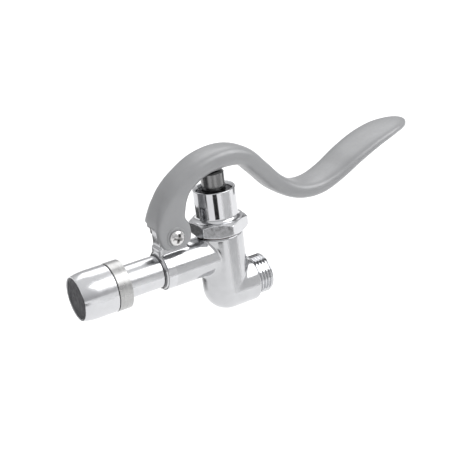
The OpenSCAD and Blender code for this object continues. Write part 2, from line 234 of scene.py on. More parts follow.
@dataclass(frozen=True)
class PlainStock:
    """Moulded, cut or drawn stock with a mottled tone and a light grain."""

    name: str
    tone: Tone
    dark: Tone
    gloss: tuple[float, float]
    metal: float = 0.0
    grain: float = 0.00001
    grain_per_metre: float = 1800

    def material(self) -> bpy.types.Material:
        """Returns the finish as a material."""
        board = NodeBoard(self.name)
        board.tint(board.noise(self.grain_per_metre / 4, 4), self.dark, self.tone)
        board.shader.inputs["Metallic"].default_value = self.metal
        dull = board.noise(self.grain_per_metre / 3, 4)
        board.wire(board.spread(dull, *self.gloss), board.shader, "Roughness")
        board.relief((board.noise(self.grain_per_metre, 3), self.grain))
        return board.material


class FinishRack:
    """All the finishes, by the record's slot name."""

    def __init__(self) -> None:
        """Mixes every finish once."""
        recipes = {
            "body_chrome": ChromePlate("cast_chrome", (0.13, 0.20), 0.000010, (0.52, 0.524, 0.534)),
            "chrome": ChromePlate("turned_chrome", gloss=(0.06, 0.10)),
            "satin_chrome": ChromePlate("satin_chrome", gloss=(0.16, 0.24), wave=0.000006),
            # Chrome darkened to a low tone: painted shade for the groove at the barrel's end.
            "painted_shade_chrome": ChromePlate("painted_shade_chrome", (0.2, 0.3), 0.000006, (0.13, 0.13, 0.135)),
            "brushed_ring": TurnedMetal(
                "brushed_ring", (0.46, 0.46, 0.455), (0.37, 0.37, 0.365), (0.26, 0.34), 0),
            "lever_coat": SatinCoat("lever_coat"),
            "plunger_steel": TurnedMetal(
                "plunger_steel", (0.22, 0.22, 0.22), (0.19, 0.19, 0.19), (0.2, 0.26), 2, 0.000001),
            "steel": TurnedMetal("bright_steel", (0.66, 0.655, 0.65), (0.56, 0.555, 0.55), (0.16, 0.26), 1),
            "brass": PlainStock("brass", (0.78, 0.58, 0.26), (0.68, 0.50, 0.21), (0.18, 0.3), 1.0, 0.000004),
            "rubber": PlainStock("rubber", (0.03, 0.03, 0.032), (0.018, 0.018, 0.02), (0.6, 0.75)),
            "fibre": PlainStock("fibre", (0.10, 0.05, 0.035), (0.06, 0.03, 0.022), (0.75, 0.9), 0.0, 0.00003),
            "white_plastic": PlainStock("white_plastic", (0.78, 0.79, 0.80), (0.72, 0.73, 0.74), (0.38, 0.5)),
            "screen_steel": PlainStock(
                "screen_wire", (0.16, 0.16, 0.165), (0.10, 0.10, 0.105), (0.32, 0.45), 0.9, 0.000003),
        }
        self.materials = {slot: recipe.material() for slot, recipe in recipes.items()}

    def dress(self, piece: Piece, slot: str, finish: str = "") -> None:
        """Gives a piece one finish, the slot's own unless another is named."""
        piece.data.materials.clear()
        piece.data.materials.append(self.materials[finish or slot])

    def dress_cad(self) -> None:
        """Swaps the plain material of every CAD node for the finish of the same slot."""
        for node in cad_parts.values():
            for place in node.material_slots:
                plain = place.material.name.split(".")[0]
                place.material = self.materials[plain]


# ---- workshop ----


@dataclass(frozen=True)
class Axis:
    """A line that turned parts are made round: an origin and the direction of their height."""

    origin: Vector
    direction: Vector

    def matrix(self) -> Matrix:
        """Returns the placing that takes height along +Z to this line."""
        return Matrix.Translation(self.origin) @ self.direction.to_track_quat("Z", "Y").to_matrix().to_4x4()


def only(*pieces: Piece) -> None:
    """Selects only these pieces and makes the first active."""
    if bpy.context.object and bpy.context.object.mode != "OBJECT":
        bpy.ops.object.mode_set(mode="OBJECT")
    bpy.ops.object.select_all(action="DESELECT")
    for piece in pieces:
        piece.select_set(True)
    bpy.context.view_layer.objects.active = pieces[0] if pieces else None


@contextmanager
def editing(piece: Piece) -> Iterator[None]:
    """Opens a piece in edit mode with everything selected, and closes it afterwards."""
    only(piece)
    bpy.ops.object.mode_set(mode="EDIT")
    bpy.ops.mesh.select_all(action="SELECT")
    yield
    bpy.ops.object.mode_set(mode="OBJECT")


def settle(piece: Piece, placing: Matrix | None = None) -> None:
    """Moves a piece's place into its mesh, so that its object sits at the origin.

    Args:
        piece: The piece.
        placing: Where to put it first, if it isn't there already.
    """
    if placing is not None:
        piece.matrix_world = placing @ piece.matrix_world
    only(piece)
    bpy.ops.object.transform_apply(location=True, rotation=True, scale=True)


def finish_mesh(piece: Piece, angle: float = 32.0) -> Piece:
    """Turns faces outwards and shades edges flatter than `angle` degrees smooth."""
    with editing(piece):
        bpy.ops.mesh.remove_doubles(threshold=WELD)
        bpy.ops.mesh.normals_make_consistent(inside=False)
    bpy.ops.object.shade_smooth_by_angle(angle=math.radians(angle))
    modify(piece, "WEIGHTED_NORMAL", keep_sharp=True, weight=100)
    return piece


def eased(corners: list[Corner], turns: int = 4) -> Outline:
    """Rounds the corners of a closed outline.

    Args:
        corners: Radius, height and rounding of each corner, in millimetres.
        turns: Stretches in each rounded corner.

    Returns:
        The outline's points, radius and height, in millimetres.
    """
    points: Outline = []
    for i, (radius, height, ease) in enumerate(corners):
        here = Vector((radius, height))
        if ease <= 0:
            points.append((radius, height))
            continue
        before = (Vector(corners[i - 1][:2]) - here).normalized()
        after = (Vector(corners[(i + 1) % len(corners)][:2]) - here).normalized()
        for k in range(turns + 1):
            t = k / turns
            spot = here + before * ease * (1 - t) ** 2 + after * ease * t ** 2
            points.append((spot.x, spot.y))
    return points


def turned(name: str, outline: Outline, axis: Axis, steps: int = STEPS) -> Piece:
    """Turns a closed outline round an axis.

    Args:
        name: The piece's name.
        outline: Radius and height of each point, in millimetres, in order round the section.
        axis: The line it is turned round.
        steps: Stretches round the circle.

    Returns:
        The turned solid.
    """
    only()
    (radius, height), rest = outline[0], outline[1:]
    bpy.ops.mesh.primitive_plane_add(size=MM, location=(radius * MM, 0, height * MM))
    piece = bpy.context.object
    piece.name = piece.data.name = name
    bpy.ops.object.transform_apply(location=True)
    with editing(piece):
        bpy.ops.mesh.merge(type="CENTER")
        last = Vector((radius, height))
        for radius, height in [*rest, outline[0]]:
            step = Vector((radius, height)) - last
            bpy.ops.mesh.extrude_vertices_move(
                TRANSFORM_OT_translate={"value": (step.x * MM, 0, step.y * MM)})
            last = Vector((radius, height))
        bpy.ops.mesh.select_all(action="SELECT")
        bpy.ops.mesh.spin(steps=steps, angle=math.tau, center=(0, 0, 0), axis=(0, 0, 1))
    finish_mesh(piece)
    settle(piece, axis.matrix())
    return piece


def lofted(name: str, rings: list[list[Vector]]) -> Piece:
    """Skins a row of rings that have the same number of points, and closes both ends.

    Args:
        name: The piece's name.
        rings: The rings' points, in metres.

    Returns:
        The closed solid.
    """
    mesh = bmesh.new()
    loops = [[mesh.verts.new(point) for point in ring] for ring in rings]
    sides = len(rings[0])
    for low, high in zip(loops, loops[1:]):
        for i in range(sides):
            j = (i + 1) % sides
            mesh.faces.new((low[i], low[j], high[j], high[i]))
    mesh.faces.new(loops[0][::-1])
    mesh.faces.new(loops[-1])
    bmesh.ops.recalc_face_normals(mesh, faces=mesh.faces)
    data = bpy.data.meshes.new(name)
    mesh.to_mesh(data)
    mesh.free()
    piece = bpy.data.objects.new(name, data)
    bpy.context.scene.collection.objects.link(piece)
    return piece


def modify(piece: Piece, kind: str, **settings: object) -> None:
    """Adds a modifier, sets it up and applies it."""
    made = piece.modifiers.new(kind.lower(), kind)
    for key, value in settings.items():
        setattr(made, key, value)
    only(piece)
    bpy.ops.object.modifier_apply(modifier=made.name)


def wind(profile: Piece, rise: float, turns: int, steps: int) -> None:
    """Winds a flat profile up round +Z into a closed helix.

    Args:
        profile: The face to wind, beside the axis.
        rise: Height gained in one turn, in millimetres.
        turns: Number of turns.
        steps: Stretches in one turn.
    """
    modify(profile, "SCREW", screw_offset=rise * MM, iterations=turns, steps=steps,
           render_steps=steps, use_merge_vertices=True, merge_threshold=WELD)
    with editing(profile):
        bpy.ops.mesh.remove_doubles(threshold=WELD)
        bpy.ops.mesh.select_all(action="DESELECT")
        bpy.ops.mesh.select_non_manifold()
        bpy.ops.mesh.fill_holes(sides=0)
        bpy.ops.mesh.select_all(action="SELECT")
        bpy.ops.mesh.normals_make_consistent(inside=False)


def combine(piece: Piece, tool: Piece, cut: Cut) -> None:
    """Adds, takes or keeps the space of a tool solid, which is then gone."""
    modify(piece, "BOOLEAN", object=tool, operation=cut.value, solver="EXACT")
    bpy.data.objects.remove(tool)


def casting_of(node: str, name: str) -> Piece:
    """Returns a welded copy of a CAD node's mesh as a new piece."""
    piece = bpy.data.objects.new(name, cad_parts[node].data.copy())
    bpy.context.scene.collection.objects.link(piece)
    only(piece)
    bpy.ops.mesh.customdata_custom_splitnormals_clear()
    with editing(piece):
        bpy.ops.mesh.remove_doubles(threshold=2 * WELD)
    return piece


def soften(piece: Piece, grain: float, passes: int) -> None:
    """Rebuilds a solid as an even skin and lets its edges run together.

    Args:
        piece: The solid.
        grain: Size of the new skin's squares, in millimetres.
        passes: Rounds of smoothing, more for wider fillets.
    """
    modify(piece, "REMESH", mode="VOXEL", voxel_size=grain * MM)
    modify(piece, "SMOOTH", factor=0.5, iterations=passes)
    only(piece)
    bpy.ops.object.shade_smooth()


def cylinder(name: str, radius: float, height: float, sides: int, axis: Axis) -> Piece:
    """Returns a prism that stands on the axis's origin, sizes in millimetres."""
    only()
    bpy.ops.mesh.primitive_cylinder_add(vertices=sides, radius=radius * MM, depth=height * MM,
                                        location=(0, 0, height * MM / 2))
    piece = bpy.context.object
    piece.name = piece.data.name = name
    settle(piece, axis.matrix())
    return piece


def lathe(name: str, corners: list[Corner], axis: Axis, steps: int = STEPS) -> Piece:
    """Turns a closed outline round an axis, with its corners rounded as `eased` does."""
    return turned(name, eased(corners), axis, steps)


def hex_prism(name: str, flat_r: float, span: tuple[float, float], foot: tuple[float, float],
              head: tuple[float, float], axis: Axis, steps: int = STEPS) -> Piece:
    """Makes a hexagonal prism with the corners of both ends turned off.

    Args:
        name: The piece's name.
        flat_r: Distance from the axis to the flats, in millimetres.
        span: The heights of both ends.
        foot: How far the low end's round face lies inside the flats, and how far down its corners go.
        head: The same at the high end.
        axis: The prism's axis.
        steps: Stretches round the turned ends.

    Returns:
        The prism.
    """
    low, high = span
    corner_r = flat_r / math.cos(math.radians(30))
    foot_spot = axis.origin + axis.direction * low * MM
    piece = cylinder(name, corner_r, high - low, 6, Axis(foot_spot, axis.direction))
    blank = turned("hex_blank", [
        (0, low - 0.01), (flat_r - foot[0], low - 0.01), (corner_r + 0.02, low + foot[1]),
        (corner_r + 0.02, high - head[1]), (flat_r - head[0], high + 0.01), (0, high + 0.01)], axis, steps)
    combine(piece, blank, Cut.KEEP)
    return piece


def bore(piece: Piece, radius: float, span: tuple[float, float], axis: Axis, steps: int = STEPS) -> None:
    """Bores a hole between two heights along an axis, sizes in millimetres."""
    low, high = span
    plug = turned("bore", [(0, low), (radius, low), (radius, high), (0, high)], axis, steps)
    combine(piece, plug, Cut.TAKE)


def ease_edges(piece: Piece, width: float, segments: int, over: float, smooth: float) -> Piece:
    """Rounds a piece's sharp edges.

    Args:
        piece: The piece.
        width: Width of the rounding, in millimetres.
        segments: Stretches across it.
        over: The least angle of an edge that is rounded, in degrees.
        smooth: The angle below which edges are shaded smooth, in degrees.

    Returns:
        The same piece.
    """
    finish_mesh(piece)
    modify(piece, "BEVEL", width=width * MM, segments=segments, limit_method="ANGLE",
           angle_limit=math.radians(over))
    return finish_mesh(piece, smooth)


@dataclass
class Assembly:
    """Base of the sub-assemblies, which dress their pieces from one rack of finishes."""

    finishes: FinishRack

    def hang(self, piece: Piece, body: Body, slot: str, *nodes: str, finish: str = "") -> None:
        """Dresses a piece, puts it on its body and lets it stand for CAD nodes.

        Args:
            piece: The finished piece.
            body: The body that it moves with.
            slot: The record's material slot.
            nodes: The CAD nodes that it stands for.
            finish: A variant of the slot's finish.
        """
        self.finishes.dress(piece, slot, finish)
        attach(piece, body.value)
        if nodes:
            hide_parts(*nodes)
        log.info("%s: %d faces, on %s", piece.name, len(piece.data.polygons), body.value)


@dataclass(frozen=True)
class Lines:
    """The model's main lines, read from the CAD nodes."""

    stem: Axis
    outlet: Axis
    inlet: Axis
    pivot: Axis

    @classmethod
    def read(cls) -> "Lines":
        """Finds each line from the box of a turned node on it."""
        low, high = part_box("stem")
        stem = Vector(((low.x + high.x) / 2, 0, 0))
        low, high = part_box("outlet_tube")
        rise = (low.z + high.z) / 2
        low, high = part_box("pivot_washer")
        pivot = Vector(((low.x + high.x) / 2, 0, (low.z + high.z) / 2))
        return cls(
            stem=Axis(stem, UP),
            outlet=Axis(Vector((stem.x, 0, rise)), Vector((-1, 0, 0))),
            inlet=Axis(Vector((0, 0, 0)), Vector((1, 0, 0))),
            pivot=Axis(pivot, Vector((0, 1, 0))),
        )


def height_span(node: str, axis: Axis) -> tuple[float, float]:
    """Returns a node's lowest and highest reach along an axis, in millimetres from its origin."""
    reaches = [(corner - axis.origin).dot(axis.direction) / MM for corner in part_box(node)]
    return min(reaches), max(reaches)


# ---- valve body ----


@dataclass
class ValveBody(Assembly):
    """The casting with its turned outlet end and the threaded inlet. Sizes in millimetres."""

    lines: Lines = None
    grain: float = 0.42
    passes: int = 26
    shoulder: float = 9.0
    bore_r: float = 6.45
    crest_r: float = 10.45
    root_r: float = 9.4
    pitch: float = 1.8
    crests: int = 5
    barrel_r: float = 10.5
    step_r: float = 9.1
    way_r: float = 7.62

    def build(self) -> None:
        """Makes and hangs every piece of the body."""
        self.hang(self.casting(), Body.VALVE, "body_chrome", "valve_body")
        self.hang(self.thread(), Body.VALVE, "chrome")
        self.hang(self.barrel_end(), Body.VALVE, "chrome")
        # The seat wears the darkened chrome, which paints the shade in the groove.
        self.hang(self.tube_seat(), Body.VALVE, "body_chrome", finish="painted_shade_chrome")

    def casting(self) -> Piece:
        """Returns the cast body up to the inlet's shoulder, with its fillets."""
        piece = casting_of("valve_body", "body_casting")
        with editing(piece):
            bpy.ops.mesh.bisect(plane_co=(-self.shoulder * MM, 0, 0), plane_no=(1, 0, 0),
                                use_fill=True, clear_outer=True)
        soften(piece, self.grain, self.passes)
        return piece

    def thread(self) -> Piece:
        """Returns the inlet's threaded end: a bored core with one ridge wound round it."""
        deep = self.shoulder + 2.0
        core = lathe("inlet_thread", [
            (self.bore_r, -deep, 0), (self.root_r, -deep, 0), (self.root_r, 0, 0.5), (self.bore_r, 0, 0.5)],
            self.lines.inlet)
        ridge = self.ridge()
        blank = turned("thread_blank", [
            (self.root_r - 0.6, -self.shoulder - 0.2), (self.crest_r, -self.shoulder - 0.2),
            (self.crest_r, -0.7), (self.root_r - 0.1, 0.0), (self.root_r - 0.6, 0.0)], self.lines.inlet)
        combine(ridge, blank, Cut.KEEP)
        combine(core, ridge, Cut.ADD)
        return finish_mesh(core, 24)

    def ridge(self) -> Piece:
        """Returns the helical ridge, longer than the thread at both ends."""
        only()
        bpy.ops.mesh.primitive_plane_add(size=MM, rotation=(math.pi / 2, 0, 0))
        ridge = bpy.context.object
        bpy.ops.object.transform_apply(rotation=True)
        low = -(self.crests + 1.5) * self.pitch
        foot, crest = self.pitch / 2 - 0.08, self.pitch / 12
        for vertex in ridge.data.vertices:
            outer = vertex.co.x > 0
            half = crest if outer else foot
            vertex.co.x = (self.crest_r + 0.001 if outer else self.root_r - 0.3) * MM
            vertex.co.z = (low + math.copysign(half, vertex.co.z)) * MM
        wind(ridge, self.pitch, self.crests + 3, STEPS)
        settle(ridge, self.lines.inlet.matrix())
        return ridge

    def barrel_end(self) -> Piece:
        """Returns the turned end of the outlet barrel, hollow where the tube's seat goes."""
        high = height_span("valve_body", self.lines.outlet)[1]
        edge = high - 1.5
        return lathe("barrel_end", [
            (self.way_r, edge - 7, 0), (self.barrel_r - 0.12, edge - 7, 0), (self.barrel_r, edge - 4, 0),
            (self.barrel_r, edge, 0.3), (self.step_r + 0.75, edge, 0.1), (self.step_r - 1.6, edge - 0.4, 0),
            (self.step_r - 1.6, high - 0.1, 0), (self.way_r, high - 0.1, 0)],
            self.lines.outlet)

    def tube_seat(self) -> Piece:
        """Returns the seat between the barrel's end and the tube, in a dark chrome that paints the groove's
        shade.
        """
        high = height_span("valve_body", self.lines.outlet)[1]
        return lathe("tube_seat", [
            (self.step_r - 1.59, high - 2.1, 0), (self.step_r + 0.12, high - 2.1, 0),
            (self.step_r + 0.12, high + 0.03, 0.35), (self.step_r - 1.59, high + 0.03, 0)], self.lines.outlet)


# ---- bonnet ----


@dataclass
class Bonnet(Assembly):
    """The hexagon and the sleeve that guides the plunger. Sizes in millimetres."""

    lines: Lines = None
    across_flats: float = 27.0
    hex_h: float = 7.6
    sleeve_r: float = 11.0
    bore_r: float = 9.2
    floor_z: float = 14.0
    foot: float = 2.2
    shank_r: float = 9.25

    def build(self) -> None:
        """Makes and hangs the bonnet's pieces."""
        low, high = height_span("bonnet", self.lines.stem)
        rise = self.lines.outlet.origin.z / MM
        base = height_span("bonnet_gasket", self.lines.stem)[1]
        self.hang(self.hexagon(base), Body.VALVE, "chrome", "bonnet", finish="satin_chrome")
        self.hang(self.sleeve(base + self.hex_h, rise + self.floor_z, high), Body.VALVE, "chrome")
        self.hang(self.shank(low, base), Body.VALVE, "brass")

    def hexagon(self, base: float) -> Piece:
        """Returns the hexagon with its corners turned off, bored for the stem."""
        flat_r, inset = self.across_flats / 2, 0.6
        corner_r = flat_r / math.cos(math.radians(30))
        drop = (corner_r - flat_r + inset) * math.tan(math.radians(30))
        piece = hex_prism("bonnet_hexagon", flat_r, (base, base + self.hex_h), (inset, drop), (inset, drop),
                          self.lines.stem)
        bore(piece, self.bore_r - 1, (base - 1, base + self.hex_h + 1), self.lines.stem)
        return ease_edges(piece, 0.28, 3, 25, 28)

    def sleeve(self, base: float, floor: float, top: float) -> Piece:
        """Returns the sleeve, from its curved foot on the hexagon to its bright rim."""
        foot = [(self.sleeve_r + self.foot * (1 - math.sin(a)), base + self.foot * (1 - math.cos(a)))
                for a in (math.radians(9 * k) for k in range(11))]
        rim = eased([
            (self.sleeve_r, top, 0.35), (self.bore_r + 0.9, top, 0.2), (self.bore_r, top - 1.2, 0.3),
            (self.bore_r, floor, 0.6), (self.bore_r - 2.5, floor, 0), (self.bore_r - 2.5, base - 0.4, 0),
            (self.sleeve_r + self.foot, base - 0.4, 0)])
        return turned("bonnet_sleeve", foot + rim, self.lines.stem)

    def shank(self, low: float, high: float) -> Piece:
        """Returns the threaded shank below the hexagon, down in the body."""
        ridges: Outline = []
        z = low + 0.4
        while z < high - 1.6:
            ridges += [(self.shank_r - 0.5, z), (self.shank_r, z + 0.45), (self.shank_r, z + 0.6)]
            z += 1.1
        outline = [(5.05, low + 0.4), *ridges, (self.shank_r - 0.5, high - 0.4), (self.shank_r - 0.5, high + 0.3),
                   (5.05, high + 0.3)]
        return turned("bonnet_shank", outline, self.lines.stem)


# ---- return spring ----


@dataclass
class ReturnSpring(Assembly):
    """The coil under the plunger. Sizes in millimetres."""

    lines: Lines = None
    wire_r: float = 0.6
    coil_r: float = 7.4
    turns: int = 5
    travel: float = 4.43

    def build(self) -> None:
        """Makes the coil and hangs it on the valve with a mesh of its own."""
        low, high = height_span("return_spring", self.lines.stem)
        piece = self.coil(low, high)
        self.hang(piece, Body.VALVE, "steel", "return_spring")
        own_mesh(piece)

    def coil(self, low: float, high: float) -> Piece:
        """Returns the wound wire between two heights."""
        only()
        bpy.ops.mesh.primitive_circle_add(vertices=14, radius=self.wire_r * MM, fill_type="NGON",
                                          rotation=(math.pi / 2, 0, 0),
                                          location=(self.coil_r * MM, 0, (low + self.wire_r) * MM))
        piece = bpy.context.object
        piece.name = piece.data.name = "return_coil"
        bpy.ops.object.transform_apply(location=True, rotation=True)
        rise = (high - low - 2 * self.wire_r) / self.turns
        wind(piece, rise, self.turns, 64)
        finish_mesh(piece)
        settle(piece, self.lines.stem.matrix())
        return piece


# ---- plunger ----


@dataclass
class Plunger(Assembly):
    """The button that the lever presses. Sizes in millimetres."""

    lines: Lines = None
    button_r: float = 6.1
    flange_h: float = 2.8
    dome_r: float = 18.0
    stem_r: float = 3.0
    socket: float = 9.4

    def build(self) -> None:
        """Makes and hangs the plunger."""
        low, top = height_span("plunger", self.lines.stem)
        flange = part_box("plunger")
        flange_r = (flange[1].x - flange[0].x) / 2 / MM
        crown = [(r, top - self.dome_r + math.sqrt(self.dome_r ** 2 - r ** 2))
                 for r in (5.4 * k / 6 for k in range(7))]
        outline = crown[::-1] + [(0, low + self.socket), (self.stem_r, low + self.socket), (self.stem_r, low)]
        side = eased([
            (flange_r, low, 0.25), (flange_r, low + self.flange_h, 0.3),
            (self.button_r, low + self.flange_h, 0.35), (self.button_r, top - 1.35, 0.3)])
        piece = turned("plunger_button", outline + side, self.lines.stem)
        self.hang(piece, Body.STEM, "plunger_steel", "plunger")


# ---- outlet ----


@dataclass
class Outlet(Assembly):
    """The tube, its ring and the aerator on its end. Sizes in millimetres."""

    lines: Lines = None
    tube_r: float = 8.45
    ring_r: float = 12.6
    housing_r: float = 12.4
    mouth_r: float = 11.4
    lip_r: float = 10.4
    way_r: float = 5.0
    wire_r: float = 0.17
    wire_gap: float = 0.95

    def build(self) -> None:
        """Makes and hangs the outlet's pieces."""
        self.hang(self.tube(), Body.VALVE, "chrome", "outlet_tube", finish="satin_chrome")
        self.hang(self.ring(), Body.VALVE, "brushed_ring", "adapter_ring")
        self.hang(self.housing(), Body.VALVE, "chrome", "aerator_housing", finish="satin_chrome")
        for name, node, lift, gap, radius in (("outer_mesh", "outer_screen", 0.02, self.wire_gap, 10.7),
                                              ("inner_mesh", "inner_screen", 0, self.wire_gap * 1.2, 10.0)):
            low = height_span(node, self.lines.outlet)[0]
            cloth = self.screen(name, low + lift, self.wire_r, gap, radius)
            self.hang(cloth, Body.VALVE, "screen_steel", node)

    def tube(self) -> Piece:
        """Returns the straight tube with its spigot and O-ring groove."""
        low, high = height_span("outlet_tube", self.lines.outlet)
        joint = low + 8.9
        return lathe("outlet_pipe", [
            (self.way_r, low, 0), (7.5, low, 0.4), (7.5, joint - 5.6, 0), (5.9, joint - 5.6, 0),
            (5.9, joint - 3.6, 0), (7.5, joint - 3.6, 0), (7.5, joint, 0), (self.tube_r, joint, 0.3),
            (self.tube_r, high, 0.3), (self.way_r, high, 0.3)], self.lines.outlet)

    def ring(self) -> Piece:
        """Returns the brushed ring between the tube and the aerator."""
        low, high = height_span("adapter_ring", self.lines.outlet)
        front = high - 7.39
        inner = self.tube_r + 0.03
        return lathe("brushed_collar", [
            (inner, low, 0.15), (self.ring_r, low, 0.35), (self.ring_r, front, 0.35), (11.0, front, 0),
            (11.0, high, 0.3), (self.way_r + 1, high, 0.2), (self.way_r + 1, low + 6.1, 0),
            (inner, low + 6.1, 0)], self.lines.outlet)

    def housing(self) -> Piece:
        """Returns the aerator's housing, which draws in towards its mouth."""
        low, high = height_span("aerator_housing", self.lines.outlet)
        draw = [(self.housing_r - 0.85 * t ** 2, high - 8 + 7.3 * t) for t in (k / 8 for k in range(9))]
        outline = eased([(11.05, low + 9.4, 0), (11.05, low, 0.1), (self.housing_r, low, 0.45)])
        outline += draw + eased([
            (self.mouth_r, high - 0.15, 0), (self.mouth_r - 0.35, high, 0.12), (self.lip_r, high, 0.2),
            (self.lip_r, high - 1.2, 0), (10.85, high - 1.2, 0), (10.85, low + 9.4, 0)])
        return turned("aerator_shell", outline, self.lines.outlet)

    def screen(self, name: str, height: float, wire: float, gap: float, radius: float) -> Piece:
        """Returns a disc of woven wire.

        Args:
            name: The piece's name.
            height: Its middle along the outlet.
            wire: Radius of the wire.
            gap: Distance between neighbouring wires.
            radius: Radius of the disc.

        Returns:
            The woven disc with its rim.
        """
        runs = int(radius / gap)
        woven = []
        for turn in (0, 1):
            for phase in (0, 1):
                wire_piece = self.crimped_wire(wire, gap, runs, phase == turn)
                wire_piece.rotation_euler.z = turn * math.pi / 2
                first = (phase - runs) * gap * MM
                wire_piece.location = ((0, first, 0), (-first, 0, 0))[turn]
                settle(wire_piece)
                offset = ((0, 2 * gap * MM, 0), (-2 * gap * MM, 0, 0))[turn]
                modify(wire_piece, "ARRAY", count=runs + 1 - phase, use_relative_offset=False,
                       use_constant_offset=True, constant_offset_displace=offset)
                woven.append(wire_piece)
        only(*woven)
        bpy.ops.object.join()
        cloth = bpy.context.object
        self.trim(cloth, radius - 0.25)
        rim = lathe(name, [
            (radius - 0.7, -wire * 1.5, 0.1), (radius, -wire * 1.5, 0.1), (radius, wire * 1.5, 0.1),
            (radius - 0.7, wire * 1.5, 0.1)], Axis(Vector((0, 0, 0)), UP), 96)
        only(rim, cloth)
        bpy.ops.object.join()
        spot = self.lines.outlet.origin + self.lines.outlet.direction * (height + wire * 1.5) * MM
        settle(rim, Axis(spot, self.lines.outlet.direction).matrix())
        bpy.ops.object.shade_smooth_by_angle(angle=math.radians(50))
        return rim

    @staticmethod
    def crimped_wire(wire: float, gap: float, runs: int, up_first: bool) -> Piece:
        """Returns one wire along X that goes over and under the wires across it."""
        only()
        start = -(runs + 0.5) * gap
        bpy.ops.mesh.primitive_circle_add(vertices=6, radius=wire * MM, fill_type="NGON",
                                          rotation=(0, math.pi / 2, 0), location=(start * MM, 0, 0))
        piece = bpy.context.object
        bpy.ops.object.transform_apply(location=True, rotation=True)
        with editing(piece):
            level = 0.0
            for k in range(1, 2 * (2 * runs + 1) + 1):
                over = (k // 2 % 2 == 0) == up_first
                target = 0.0 if k % 2 == 0 else (0.62 if over else -0.62) * wire
                bpy.ops.mesh.extrude_region_move(
                    TRANSFORM_OT_translate={"value": (gap / 2 * MM, 0, (target - level) * MM)})
                level = target
        return piece

    @staticmethod
    def trim(cloth: Piece, radius: float) -> None:
        """Cuts off the wires outside a circle and closes their ends."""
        only(cloth)
        mesh = bmesh.new()
        mesh.from_mesh(cloth.data)
        outside = [v for v in mesh.verts if v.co.xy.length > radius * MM]
        bmesh.ops.delete(mesh, geom=outside, context="VERTS")
        bmesh.ops.holes_fill(mesh, edges=[e for e in mesh.edges if e.is_boundary], sides=8)
        loose = [v for v in mesh.verts if not v.link_faces]
        bmesh.ops.delete(mesh, geom=loose, context="VERTS")
        bmesh.ops.recalc_face_normals(mesh, faces=mesh.faces)
        mesh.to_mesh(cloth.data)
        mesh.free()


# ---- lever and its pivot ----


@dataclass(frozen=True)
class Station:
    """A section across the lever's centre line, in millimetres from the stem's and the outlet's axes."""

    ahead: float
    height: float
    width: float
    thick: float
    square: float = 3.0

    def numbers(self) -> Vector:
        """Returns the station's numbers as one vector, so that stations can be blended."""
        return Vector((self.ahead, self.height, self.width, self.thick, self.square))


